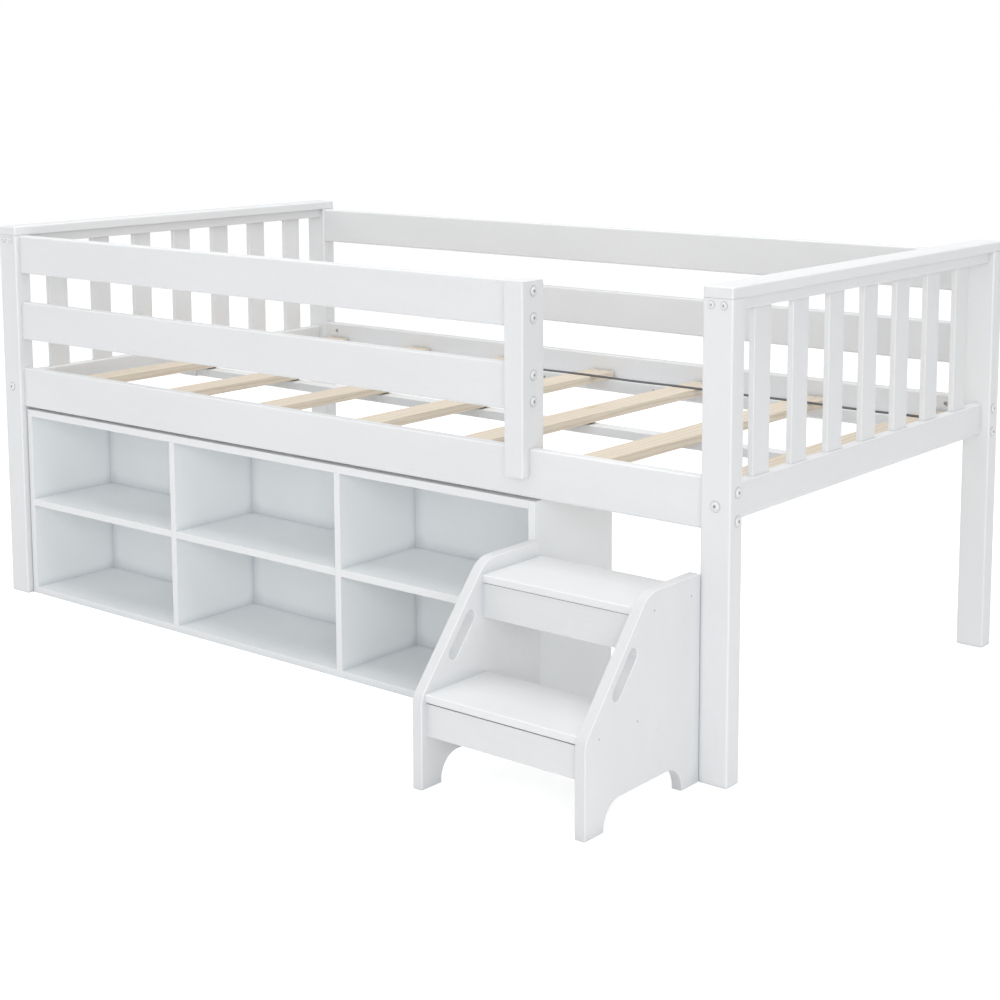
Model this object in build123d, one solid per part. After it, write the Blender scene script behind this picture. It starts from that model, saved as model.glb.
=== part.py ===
from build123d import *
import os

# Low loft bed with a cubby bookcase and a two-step stool beneath and before it.
# Sizes are in millimetres. X runs along the bed, Y from the entry side to the back, Z up.
# The origin lies on the floor, in the middle of the whole group.

# Posts and cap boards
bed_length = 2020.0
bed_width = 1061.0
bed_height = 877.0
post_width = 61.0
post_depth = 41.0
post_edge_radius = 5.0
foot_chamfer = 1.5
cap_thickness = 21.0
cap_top_radius = 4.5
cap_bottom_radius = 1.5

# End panels
top_rail_height = 23.0
top_rail_thickness = 38.0
top_rail_edge_radius = 4.0
end_rail_height = 68.0
end_rail_thickness = 22.0
end_rail_lift = 13.0
end_rail_lower_radius = 9.0
end_rail_upper_radius = 5.0
end_slat_count = 7
end_slat_width = 55.0
end_slat_thickness = 12.0
end_slat_pitch = 130.7
end_slat_edge_radius = 2.0
tenon_depth = 10.0
tenon_clearance = 0.2

# Side rails and guard rails
rail_thickness = 25.0
rail_recess = 12.0
rail_edge_radius = 5.0
side_rail_height = 92.0
side_rail_underside = 451.0
guard_height = 88.0
guard_top_gap = 1.0

# Guard upright beside the entry, notched over the side rail
entry_gap = 383.0
upright_width = 45.0
upright_depth = 65.0
upright_edge_radius = 4.0
front_lap = 53.0
rear_lap = 30.0
lap_clearance = 0.2

# Mattress slats and what carries them
slat_count = 7
slat_width = 68.0
slat_thickness = 18.0
slat_edge_radius = 1.5
slat_drop = 38.0
slat_end_gap = 6.0
first_slat_gap = 38.0
ledger_height = 27.0
ledger_thickness = 25.0
ledger_edge_radius = 2.0
ledger_end_gap = 4.0
beam_height = 20.0
beam_width = 35.0
beam_edge_radius = 2.0
pad_length = 56.0
pad_width = 24.0
pad_thickness = 3.0
strap_width = 20.0
strap_thickness = 1.2
strap_gap = 0.3
strap_inset = 86.0
strap_end_margin = 8.0
hanger_thickness = 2.0
hanger_length = 58.0
hanger_side_gap = 0.5

# Bolts, barrel nuts, dowels and screws
long_bolt_length = 110.0
short_bolt_length = 88.0
bolt_radius = 3.0
bolt_clearance = 0.5
bolt_tip = 8.0
wide_flange_radius = 10.5
narrow_flange_radius = 7.7
flange_thickness = 1.0
dome_share = 0.68
dome_height = 1.8
dome_edge_radius = 1.2
socket_flats = 5.0
socket_depth = 2.2
nut_radius = 5.0
nut_length = 15.0
nut_thread_clearance = 0.05
nut_pocket_clearance = 0.15
side_bolt_spacing = 50.0
top_bolt_spacing = 25.0
guard_bolt_spacing = 50.0
dowel_radius = 4.0
dowel_length = 30.0
dowel_clearance = 0.1
dowel_end_gap = 0.5
shallow_dowel_depth = 10.0
guard_dowel_spacing = 44.0
end_rail_dowel_spacing = 40.0
screw_radius = 2.0
screw_length = 40.0
screw_head_radius = 4.0
screw_head_height = 2.6
screw_clearance = 0.05
cross_width = 1.0
cross_span = 4.4
cross_depth = 1.6
ledger_screw_count = 6
ledger_screw_margin = 120.0
slat_screw_inset = 12.0
hanger_screw_radius = 1.8
hanger_screw_head_radius = 3.4
hanger_screw_length = 15.0
hanger_screw_margin = 10.0
hanger_screw_spacing = 16.0

# Bookcase
bookcase_depth = 245.0
bookcase_setback = 15.0
bookcase_side_gap = 2.0
bookcase_top_gap = 6.5
bookcase_board = 16.0
bookcase_edge_radius = 0.8
bookcase_columns = 3
bookcase_back_thickness = 5.0
bookcase_back_inset = 11.0
bookcase_groove_depth = 6.0
bookcase_groove_clearance = 0.2
bookcase_dowel_radius = 3.0
bookcase_dowel_length = 24.0
bookcase_dowel_margin = 45.0

# Two-step stool
step_width = 373.0
step_depth = 333.0
step_height = 377.0
step_back_gap = 1.0
step_post_overlap = 4.0
step_bookcase_gap = 3.0
step_panel = 22.0
step_edge_radius = 2.5
knee_drop = 212.0
slope_run = 178.0
knee_radius = 40.0
shoulder_radius = 60.0
back_corner_radius = 6.0
foot_width = 52.5
arch_height = 48.5
arch_radius = 44.0
handle_length = 95.0
handle_width = 24.0
handle_offset = 28.0
tread_thickness = 15.0
tread_edge_radius = 3.0
upper_tread_drop = 27.0
lower_tread_drop = 4.0
tread_setback = 10.0
tread_overlap = 9.0
apron_thickness = 15.0
apron_setback = 4.0
lower_apron_gap = 2.8
upper_apron_gap = 1.5
lower_apron_height = 57.7
upper_apron_height = 62.0
apron_dowel_radius = 3.0
apron_dowel_length = 24.0
apron_dowel_spacing = 32.0
step_screw_margin = 28.0

# Overall places worked out from the sizes above
head_height = flange_thickness + dome_height
half_length = bed_length / 2
group_depth = step_depth + step_back_gap + bed_width + head_height
bed_front = -group_depth / 2 + step_depth + step_back_gap
bed_back = bed_front + bed_width
bed_middle = (bed_front + bed_back) / 2
bay_end = half_length - post_width
post_centre = half_length - post_width / 2
cap_underside = bed_height - cap_thickness
top_rail_underside = cap_underside - top_rail_height
side_rail_top = side_rail_underside + side_rail_height
side_rail_centre = side_rail_underside + side_rail_height / 2
end_rail_underside = side_rail_underside + end_rail_lift
end_rail_top = end_rail_underside + end_rail_height
end_rail_inner = post_centre - end_rail_thickness / 2
upper_guard_top = cap_underside - guard_top_gap
upper_guard_underside = upper_guard_top - guard_height
guard_gap = (upper_guard_underside - side_rail_top - guard_height) / 2
lower_guard_underside = side_rail_top + guard_gap
rail_centre_depth = rail_recess + rail_thickness / 2
rail_inner_depth = rail_recess + rail_thickness
upright_right = bay_end - entry_gap
upright_left = upright_right - upright_width
slat_top = side_rail_top - slat_drop
slat_underside = slat_top - slat_thickness
slat_front = bed_front + rail_inner_depth + slat_end_gap
slat_back = bed_back - rail_inner_depth - slat_end_gap
first_slat_left = -end_rail_inner + first_slat_gap
slat_pitch = (-2 * first_slat_left - slat_width) / (slat_count - 1)
ledger_end = bay_end - ledger_end_gap
beam_top = slat_underside - pad_thickness
beam_underside = beam_top - beam_height
beam_end = end_rail_inner - hanger_thickness
step_right = bay_end + step_post_overlap
step_left = step_right - step_width
step_front = bed_front - step_back_gap - step_depth
knee_height = step_height - knee_drop
upper_tread_height = step_height - upper_tread_drop
lower_tread_height = upper_tread_height / 2 - lower_tread_drop
bookcase_left = -bay_end + bookcase_side_gap
bookcase_right = step_left - step_bookcase_gap
bookcase_front = bed_front + bookcase_setback
bookcase_back = bookcase_front + bookcase_depth
bookcase_height = side_rail_underside - bookcase_top_gap

ENDS = {"left": -1, "right": 1}
SIDES = {"front": (bed_front, 1), "back": (bed_back, -1)}

pieces = {}
cutters = {}
groups = {}


def span(first, second):
    """The lower and the higher of two places on one axis."""
    return (min(first, second), max(first, second))


def board(x, y, z):
    """A square-edged board that fills three spans."""
    centre = [(low + high) / 2 for low, high in (x, y, z)]
    size = [high - low for low, high in (x, y, z)]
    return Pos(*centre) * Box(*size)


def rounded_board(x, y, z, grain, radius):
    """A board with the four edges along its grain rounded."""
    blank = board(x, y, z)
    return fillet(blank.edges().filter_by(grain), radius)


def cut(name, tool):
    """Marks a tool that is taken out of a piece once all pieces are made."""
    cutters.setdefault(name, []).append(tool)


def add(name, solid):
    """Adds one solid to a group of like pieces."""
    groups.setdefault(name, []).append(solid)


def facing(point, outward):
    """The place of something that stands at a point and looks outward."""
    return Plane(origin=point, z_dir=outward).location


def drill(point, outward, radius, depth):
    """A round hole's tool, from a point on a face into the piece."""
    rod = Cylinder(radius, depth, align=(Align.CENTER, Align.CENTER, Align.MAX))
    return facing(point, outward) * rod


def evenly(low, high, count):
    """Evenly spaced places from the low end to the high end."""
    step = (high - low) / (count - 1)
    return [low + index * step for index in range(count)]


# Fasteners, made once each and placed many times

def make_bolt(length, flange_radius):
    """A furniture bolt: flange, low dome with a hexagon socket, and plain shank."""
    up = (Align.CENTER, Align.CENTER, Align.MIN)
    down = (Align.CENTER, Align.CENTER, Align.MAX)
    flange = Cylinder(flange_radius, flange_thickness, align=up)
    dome = Pos(0, 0, flange_thickness) * Cylinder(flange_radius * dome_share, dome_height, align=up)
    dome = fillet(dome.edges().group_by(Axis.Z)[-1], dome_edge_radius)
    shank = Cylinder(bolt_radius, length, align=down)
    hexagon = RegularPolygon(socket_flats / 2, 6, major_radius=False)
    socket = Pos(0, 0, head_height - socket_depth) * extrude(hexagon, socket_depth)
    return flange + dome + shank - socket


def make_barrel_nut():
    """A cross dowel nut along Z, with its thread's bore along X."""
    barrel = Cylinder(nut_radius, nut_length)
    bore = Cylinder(bolt_radius + nut_thread_clearance, 4 * nut_radius)
    return barrel - Rot(0, 90, 0) * bore


def make_screw(radius, head_radius, length, spare=0.0):
    """A countersunk screw whose head ends at Z 0, or its hole where spare room is given."""
    down = (Align.CENTER, Align.CENTER, Align.MAX)
    head = Cone(radius + spare, head_radius + spare, screw_head_height, align=down)
    return head + Cylinder(radius + spare, length + spare, align=down)


def make_cross():
    """The cross recess in a screw's head."""
    down = (Align.CENTER, Align.CENTER, Align.MAX)
    bar = Box(cross_span, cross_width, cross_depth, align=down)
    return bar + Rot(0, 0, 90) * bar


cross = make_cross()
wood_screw = make_screw(screw_radius, screw_head_radius, screw_length) - cross
wood_screw_hole = make_screw(screw_radius, screw_head_radius, screw_length, screw_clearance)
hanger_screw = make_screw(hanger_screw_radius, hanger_screw_head_radius, hanger_screw_length)
hanger_screw_hole = make_screw(
    hanger_screw_radius, hanger_screw_head_radius, hanger_screw_length, screw_clearance
)
barrel_nut = make_barrel_nut()
side_rail_bolt = make_bolt(long_bolt_length, wide_flange_radius)
short_bolt = make_bolt(short_bolt_length, wide_flange_radius)
top_rail_bolt = make_bolt(short_bolt_length, narrow_flange_radius)


def bolt_joint(group, bolt, length, outer, inner, seat, outward, nut_face):
    """Bolts an outer piece to the end of an inner one, into a barrel nut from one face."""
    seat, outward, nut_face = Vector(*seat), Vector(*outward), Vector(*nut_face)
    hole = drill(seat, outward, bolt_radius + bolt_clearance, length + bolt_tip)
    cut(outer, hole)
    cut(inner, hole)
    add(group, facing(seat, outward) * bolt)
    nut_centre = seat - outward * (length - bolt_tip)
    turned = Plane(origin=nut_centre, x_dir=outward, z_dir=nut_face).location
    add("barrel_nuts", turned * barrel_nut)
    mouth = nut_centre + nut_face * rail_thickness
    depth = rail_thickness + nut_length / 2 + nut_pocket_clearance
    cut(inner, drill(mouth, nut_face, nut_radius + nut_pocket_clearance, depth))


def dowel_joint(group, first, second, face, toward_second, into_first, radius, length):
    """Pins two pieces where they meet with one dowel, blind in both."""
    face, toward_second = Vector(*face), Vector(*toward_second)
    low_end = face - toward_second * into_first
    lift = Pos(0, 0, length / 2)
    add(group, facing(low_end, toward_second) * lift * Cylinder(radius, length))
    hole = lift * Cylinder(radius + dowel_clearance, length + 2 * dowel_end_gap)
    cut(first, facing(low_end, toward_second) * hole)
    cut(second, facing(low_end, toward_second) * hole)


def screw_joint(group, names, head, outward, screw=wood_screw, hole=wood_screw_hole):
    """Drives one countersunk screw through the named pieces."""
    place = facing(head, outward)
    add(group, place * screw)
    for name in names:
        cut(name, place * hole)


# Bed frame

def make_posts():
    for end, sign in ENDS.items():
        for side, (face, inward) in SIDES.items():
            post = rounded_board(
                span(sign * half_length, sign * bay_end),
                span(face, face + inward * post_depth),
                (0, cap_underside),
                Axis.Z,
                post_edge_radius,
            )
            pieces[f"{side}_{end}_post"] = chamfer(post.edges().group_by(Axis.Z)[0], foot_chamfer)


def make_caps():
    for end, sign in ENDS.items():
        cap = rounded_board(
            span(sign * half_length, sign * bay_end),
            (bed_front, bed_back),
            (cap_underside, bed_height),
            Axis.Z,
            post_edge_radius,
        )
        cap = fillet(cap.edges().group_by(Axis.Z)[-1], cap_top_radius)
        pieces[f"{end}_cap_board"] = fillet(cap.edges().group_by(Axis.Z)[0], cap_bottom_radius)


def make_end_rails():
    for end, sign in ENDS.items():
        centre = sign * post_centre
        between_posts = (bed_front + post_depth, bed_back - post_depth)
        top = board(
            span(centre - top_rail_thickness / 2, centre + top_rail_thickness / 2),
            between_posts,
            (top_rail_underside, cap_underside),
        )
        lower_edges = top.edges().filter_by(Axis.Y).group_by(Axis.Z)[0]
        pieces[f"{end}_top_rail"] = fillet(lower_edges, top_rail_edge_radius)
        low = board(
            span(centre - end_rail_thickness / 2, centre + end_rail_thickness / 2),
            between_posts,
            (end_rail_underside, end_rail_top),
        )
        low = fillet(low.edges().filter_by(Axis.Y).group_by(Axis.Z)[0], end_rail_lower_radius)
        upper_edges = low.edges().filter_by(Axis.Y).group_by(Axis.Z)[-1]
        pieces[f"{end}_bottom_rail"] = fillet(upper_edges, end_rail_upper_radius)


def make_end_slats():
    first = bed_middle - end_slat_pitch * (end_slat_count - 1) / 2
    foot, head = end_rail_top - tenon_depth, top_rail_underside + tenon_depth
    for end, sign in ENDS.items():
        centre = sign * post_centre
        for index in range(end_slat_count):
            middle = first + index * end_slat_pitch
            x = (centre - end_slat_thickness / 2, centre + end_slat_thickness / 2)
            y = (middle - end_slat_width / 2, middle + end_slat_width / 2)
            add(f"{end}_end_slats", rounded_board(x, y, (foot, head), Axis.Z, end_slat_edge_radius))
            room = board(
                (x[0] - tenon_clearance, x[1] + tenon_clearance),
                (y[0] - tenon_clearance, y[1] + tenon_clearance),
                (foot - tenon_clearance, head + tenon_clearance),
            )
            cut(f"{end}_bottom_rail", room)
            cut(f"{end}_top_rail", room)


def rail_span(side):
    """The span in Y of the rails along one long side."""
    face, inward = SIDES[side]
    return span(face + inward * rail_recess, face + inward * rail_inner_depth)


def make_long_rails():
    lower = (lower_guard_underside, lower_guard_underside + guard_height)
    upper = (upper_guard_underside, upper_guard_top)
    for side in SIDES:
        y = rail_span(side)
        full = (-bay_end, bay_end)
        guarded = (-bay_end, upright_left) if side == "front" else full
        side_rail = (side_rail_underside, side_rail_top)
        pieces[f"{side}_side_rail"] = rounded_board(full, y, side_rail, Axis.X, rail_edge_radius)
        pieces[f"{side}_lower_guard"] = rounded_board(guarded, y, lower, Axis.X, rail_edge_radius)
        pieces[f"{side}_upper_guard"] = rounded_board(guarded, y, upper, Axis.X, rail_edge_radius)


def make_guard_upright():
    low, high = rail_span("front")
    middle = (low + high) / 2
    front, back = middle - upright_depth / 2, middle + upright_depth / 2
    upright = rounded_board(
        (upright_left, upright_right),
        (front, back),
        (side_rail_top - front_lap, upper_guard_top),
        Axis.Z,
        upright_edge_radius,
    )
    slot = board(
        (upright_left - upright_width, upright_right + upright_width),
        (low - lap_clearance, high + lap_clearance),
        (side_rail_underside, side_rail_top),
    )
    behind = board(
        (upright_left - upright_width, upright_right + upright_width),
        (high, back + upright_depth),
        (side_rail_underside, side_rail_top - rear_lap),
    )
    pieces["guard_upright"] = upright - slot - behind


def bolt_frame():
    """Bolts, nuts and dowels of the four corners and of the guard upright."""
    for end, sign in ENDS.items():
        for side, (face, inward) in SIDES.items():
            post = f"{side}_{end}_post"
            rail_y = face + inward * rail_centre_depth
            for offset in (-side_bolt_spacing / 2, side_bolt_spacing / 2):
                bolt_joint(
                    "side_rail_bolts", side_rail_bolt, long_bolt_length,
                    post, f"{side}_side_rail",
                    (sign * half_length, rail_y, side_rail_centre + offset),
                    (sign, 0, 0), (0, inward, 0),
                )
            end_rail_centre = end_rail_underside + end_rail_height / 2
            bolt_joint(
                "short_bolts", short_bolt, short_bolt_length,
                post, f"{end}_bottom_rail",
                (sign * post_centre, face, end_rail_centre),
                (0, -inward, 0), (-sign, 0, 0),
            )
            for offset in (-top_bolt_spacing / 2, top_bolt_spacing / 2):
                bolt_joint(
                    "top_rail_bolts", top_rail_bolt, short_bolt_length,
                    post, f"{end}_top_rail",
                    (sign * post_centre + offset, face, top_rail_underside + top_rail_height / 2),
                    (0, -inward, 0), (0, 0, -1),
                )
            dowel_joint(
                "frame_dowels", post, f"{side}_side_rail",
                (sign * bay_end, rail_y, side_rail_centre),
                (-sign, 0, 0), dowel_length / 2, dowel_radius, dowel_length,
            )
            for offset in (-end_rail_dowel_spacing / 2, end_rail_dowel_spacing / 2):
                dowel_joint(
                    "frame_dowels", post, f"{end}_bottom_rail",
                    (sign * post_centre, face + inward * post_depth, end_rail_centre + offset),
                    (0, inward, 0), shallow_dowel_depth, dowel_radius, dowel_length,
                )
            dowel_joint(
                "frame_dowels", f"{end}_cap_board", post,
                (sign * post_centre, face + inward * post_depth / 2, cap_underside),
                (0, 0, -1), shallow_dowel_depth, dowel_radius, dowel_length,
            )
            if (end, side) == ("right", "front"):
                continue
            for guard_underside, guard in (
                (lower_guard_underside, f"{side}_lower_guard"),
                (upper_guard_underside, f"{side}_upper_guard"),
            ):
                for offset in (-guard_dowel_spacing / 2, guard_dowel_spacing / 2):
                    dowel_joint(
                        "frame_dowels", post, guard,
                        (sign * bay_end, rail_y, guard_underside + guard_height / 2 + offset),
                        (-sign, 0, 0), dowel_length / 2, dowel_radius, dowel_length,
                    )
    for underside, guard in (
        (lower_guard_underside, "front_lower_guard"),
        (upper_guard_underside, "front_upper_guard"),
    ):
        for offset in (-guard_bolt_spacing / 2, guard_bolt_spacing / 2):
            bolt_joint(
                "short_bolts", short_bolt, short_bolt_length,
                "guard_upright", guard,
                (upright_right, bed_front + rail_centre_depth, underside + guard_height / 2 + offset),
                (1, 0, 0), (0, 1, 0),
            )


def make_ledgers():
    for side, (face, inward) in SIDES.items():
        back_of_rail = face + inward * rail_inner_depth
        inner_face = back_of_rail + inward * ledger_thickness
        pieces[f"{side}_slat_ledger"] = rounded_board(
            (-ledger_end, ledger_end),
            span(back_of_rail, inner_face),
            (slat_underside - ledger_height, slat_underside),
            Axis.X,
            ledger_edge_radius,
        )
        height = slat_underside - ledger_height / 2
        reach = ledger_end - ledger_screw_margin
        for x in evenly(-reach, reach, ledger_screw_count):
            names = (f"{side}_slat_ledger", f"{side}_side_rail")
            screw_joint("frame_screws", names, (x, inner_face, height), (0, inward, 0))


def make_hidden_screws():
    """Screws that hold the caps from below and the upright from behind."""
    for end, sign in ENDS.items():
        names = (f"{end}_top_rail", f"{end}_cap_board")
        for index in range(1, end_slat_count):
            between_slats = bed_middle + end_slat_pitch * (index - end_slat_count / 2)
            head = (sign * post_centre, between_slats, top_rail_underside)
            screw_joint("frame_screws", names, head, (0, 0, -1))
    middle = bed_front + rail_centre_depth
    for x in evenly(upright_left, upright_right, 4)[1:-1]:
        head = (x, middle + upright_depth / 2, side_rail_top - rear_lap / 2)
        screw_joint("frame_screws", ("guard_upright", "front_side_rail"), head, (0, 1, 0))


def make_centre_beam():
    y = (bed_middle - beam_width / 2, bed_middle + beam_width / 2)
    beam = rounded_board((-beam_end, beam_end), y, (beam_underside, beam_top), Axis.X, beam_edge_radius)
    pieces["centre_beam"] = beam
    cheek_inner = beam_width / 2 + hanger_side_gap
    cheek_outer = cheek_inner + hanger_thickness
    for sign in ENDS.values():
        mouth = sign * (end_rail_inner - hanger_length)
        outside = board(
            span(sign * end_rail_inner, mouth),
            (bed_middle - cheek_outer, bed_middle + cheek_outer),
            (beam_underside - hanger_thickness, beam_top),
        )
        inside = board(
            span(sign * beam_end, mouth - sign * hanger_length),
            (bed_middle - cheek_inner, bed_middle + cheek_inner),
            (beam_underside, beam_top + beam_height),
        )
        hanger = outside - inside
        for outward in (-1, 1):
            for step in (0, hanger_screw_spacing):
                x = mouth + sign * (hanger_screw_margin + step)
                head = (x, bed_middle + outward * cheek_outer, (beam_underside + beam_top) / 2)
                place = facing(head, (0, outward, 0))
                add("hanger_screws", place * hanger_screw)
                hanger = hanger - place * hanger_screw_hole
                cut("centre_beam", place * hanger_screw_hole)
        add("beam_hangers", hanger)


def make_mattress_slats():
    for index in range(slat_count):
        left = first_slat_left + index * slat_pitch
        name = f"mattress_slat_{index + 1}"
        pieces[name] = rounded_board(
            (left, left + slat_width),
            (slat_front, slat_back),
            (slat_underside, slat_top),
            Axis.Y,
            slat_edge_radius,
        )
        middle = left + slat_width / 2
        pad = board(
            (middle - pad_length / 2, middle + pad_length / 2),
            (bed_middle - pad_width / 2, bed_middle + pad_width / 2),
            (beam_top, slat_underside),
        )
        add("beam_pads", pad)
        for side, y in (("front", slat_front + slat_screw_inset), ("back", slat_back - slat_screw_inset)):
            screw_joint("slat_screws", (name, f"{side}_slat_ledger"), (middle, y, slat_top), (0, 0, 1))


def make_straps():
    x = (first_slat_left + strap_end_margin, -first_slat_left - strap_end_margin)
    for side, middle in (("front", slat_front + strap_inset), ("back", slat_back - strap_inset)):
        y = (middle - strap_width / 2, middle + strap_width / 2)
        underside = slat_top + strap_gap
        pieces[f"{side}_slat_strap"] = board(x, y, (underside, underside + strap_thickness))


# Bookcase

def soft_board(x, y, z, grain):
    """A coated board with its long edges just broken."""
    return rounded_board(x, y, z, grain, bookcase_edge_radius)


def make_bookcase():
    full_y = (bookcase_front, bookcase_back)
    panel_back = bookcase_back - bookcase_back_inset
    panel_front = panel_back - bookcase_back_thickness
    inner_left = bookcase_left + bookcase_board
    inner_right = bookcase_right - bookcase_board
    inner_top = bookcase_height - bookcase_board
    inner_x = (inner_left, inner_right)
    full_z = (0, bookcase_height)
    pieces["bookcase_left_side"] = soft_board((bookcase_left, inner_left), full_y, full_z, Axis.Z)
    pieces["bookcase_right_side"] = soft_board((inner_right, bookcase_right), full_y, full_z, Axis.Z)
    pieces["bookcase_bottom"] = soft_board(inner_x, full_y, (0, bookcase_board), Axis.X)
    pieces["bookcase_top"] = soft_board(inner_x, full_y, (inner_top, bookcase_height), Axis.X)
    shallow_y = (bookcase_front, panel_front)
    column = (inner_right - inner_left - (bookcase_columns - 1) * bookcase_board) / bookcase_columns
    shelf_underside = (bookcase_height - bookcase_board) / 2
    shelf_z = (shelf_underside, shelf_underside + bookcase_board)
    walls = ["bookcase_left_side"]
    starts = [inner_left + index * (column + bookcase_board) for index in range(bookcase_columns)]
    for index, start in enumerate(starts[1:], 1):
        name = f"bookcase_divider_{index}"
        divider_x = (start - bookcase_board, start)
        pieces[name] = soft_board(divider_x, shallow_y, (bookcase_board, inner_top), Axis.Z)
        walls.append(name)
        for height, flat, up in ((bookcase_board, "bookcase_bottom", 1), (inner_top, "bookcase_top", -1)):
            pin_boards(flat, name, (start - bookcase_board / 2, height), (0, 0, up), shallow_y)
    walls.append("bookcase_right_side")
    for index, start in enumerate(starts):
        name = f"bookcase_shelf_{index + 1}"
        pieces[name] = soft_board((start, start + column), shallow_y, shelf_z, Axis.X)
        height = shelf_underside + bookcase_board / 2
        pin_boards(walls[index], name, (start, height), (1, 0, 0), shallow_y)
        pin_boards(walls[index + 1], name, (start + column, height), (-1, 0, 0), shallow_y)
    half_board = bookcase_board / 2
    for flat, height in (("bookcase_bottom", half_board), ("bookcase_top", inner_top + half_board)):
        pin_boards("bookcase_left_side", flat, (inner_left, height), (1, 0, 0), shallow_y)
        pin_boards("bookcase_right_side", flat, (inner_right, height), (-1, 0, 0), shallow_y)
    lap = bookcase_groove_depth - bookcase_groove_clearance
    pieces["bookcase_back"] = board(
        (inner_left - lap, inner_right + lap),
        (panel_front, panel_back),
        (bookcase_board - lap, inner_top + lap),
    )
    groove = board(
        (inner_left - bookcase_groove_depth, inner_right + bookcase_groove_depth),
        (panel_front - bookcase_groove_clearance, panel_back + bookcase_groove_clearance),
        (bookcase_board - bookcase_groove_depth, inner_top + bookcase_groove_depth),
    )
    for name in ("bookcase_left_side", "bookcase_right_side", "bookcase_bottom", "bookcase_top"):
        cut(name, groove)


def pin_boards(first, second, place, toward_second, y):
    """Two dowels where one bookcase board meets another, one near each long edge."""
    x, z = place
    for depth in (y[0] + bookcase_dowel_margin, y[1] - bookcase_dowel_margin):
        dowel_joint(
            "bookcase_dowels", first, second, (x, depth, z), toward_second,
            bookcase_dowel_length / 2, bookcase_dowel_radius, bookcase_dowel_length,
        )


# Two-step stool

def step_side_outline():
    """The side panel seen from the right, front edge at the left, before its edges are eased."""
    front, back = step_front, step_front + step_depth
    shoulder = front + slope_run
    corners = [(front, 0), (front, knee_height), (shoulder, step_height), (back, step_height), (back, 0)]
    outline = make_face(Polyline(*corners, close=True))
    for corner, radius in (
        ((front, knee_height), knee_radius),
        ((shoulder, step_height), shoulder_radius),
        ((back, step_height), back_corner_radius),
    ):
        outline = fillet(outline.vertices().sort_by_distance((*corner, 0))[0], radius)
    arch = make_face(Polyline(
        (front + foot_width, -arch_height),
        (front + foot_width, arch_height),
        (back - foot_width, arch_height),
        (back - foot_width, -arch_height),
        close=True,
    ))
    arch = fillet(arch.vertices().group_by(Axis.Y)[-1], arch_radius)
    slope = Vector(slope_run, step_height - knee_height).normalized()
    inward = Vector(slope.Y, -slope.X)
    middle = Vector(front + slope_run / 2, (knee_height + step_height) / 2) + inward * handle_offset
    tilt = Vector(1, 0, 0).get_angle(slope)
    handle = Pos(middle.X, middle.Y) * Rot(0, 0, tilt) * SlotOverall(handle_length, handle_width)
    return outline - arch - handle


def slope_place(height):
    """Where the panel's sloping front edge is at a height."""
    return step_front + slope_run * (height - knee_height) / (step_height - knee_height)


def make_step_sides():
    outline = step_side_outline()
    for name, left in (("step_left_side", step_left), ("step_right_side", step_right - step_panel)):
        panel = extrude(Plane.YZ.offset(left) * outline, step_panel)
        faces = panel.faces().filter_by(Axis.X)
        pieces[name] = fillet(faces.edges(), step_edge_radius)


def make_steps():
    x = (step_left + step_panel, step_right - step_panel)
    step_back = step_front + step_depth
    lower_front = step_front + tread_setback
    upper_front = slope_place(upper_tread_height) + tread_setback
    treads = (
        ("lower", lower_front, upper_front + tread_overlap, lower_tread_height),
        ("upper", upper_front, step_back, upper_tread_height),
    )
    aprons = {
        "lower": (lower_apron_gap, lower_apron_height),
        "upper": (upper_apron_gap, upper_apron_height),
    }
    for level, front, back, top in treads:
        apron_gap, apron_height = aprons[level]
        underside = top - tread_thickness
        tread = board(x, (front, back), (underside, top))
        front_edges = tread.edges().filter_by(Axis.X).group_by(Axis.Y)[0]
        pieces[f"{level}_tread"] = fillet(front_edges, tread_edge_radius)
        apron_top = underside - apron_gap
        apron_y = (front + apron_setback, front + apron_setback + apron_thickness)
        apron_z = (apron_top - apron_height, apron_top)
        pieces[f"{level}_apron"] = board(x, apron_y, apron_z)
        for side, face, sign in (("left", x[0], 1), ("right", x[1], -1)):
            for offset in (-apron_dowel_spacing / 2, apron_dowel_spacing / 2):
                dowel_joint(
                    "step_dowels", f"step_{side}_side", f"{level}_apron",
                    (face, sum(apron_y) / 2, sum(apron_z) / 2 + offset),
                    (sign, 0, 0), apron_dowel_length / 2, apron_dowel_radius, apron_dowel_length,
                )
            for y in (front + step_screw_margin, back - step_screw_margin):
                head = (face - sign * step_panel, y, underside + tread_thickness / 2)
                screw_joint("step_screws", (f"step_{side}_side", f"{level}_tread"), head, (-sign, 0, 0))


def write_parts():
    """Takes out the holes, then writes one file for each piece and each group."""
    os.makedirs("parts", exist_ok=True)
    for name, piece in pieces.items():
        if name in cutters:
            piece = piece - cutters[name]
        export_step(piece, f"parts/{name}.step")
    for name, solids in groups.items():
        export_step(Compound(solids), f"parts/{name}.step")


make_posts()
make_caps()
make_end_rails()
make_end_slats()
make_long_rails()
make_guard_upright()
bolt_frame()
make_ledgers()
make_hidden_screws()
make_centre_beam()
make_mattress_slats()
make_straps()
make_bookcase()
make_step_sides()
make_steps()
write_parts()
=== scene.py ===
import math

import bmesh
import bpy
from bpy.props import FloatProperty, FloatVectorProperty, PointerProperty
from mathutils import Matrix, Vector


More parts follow.
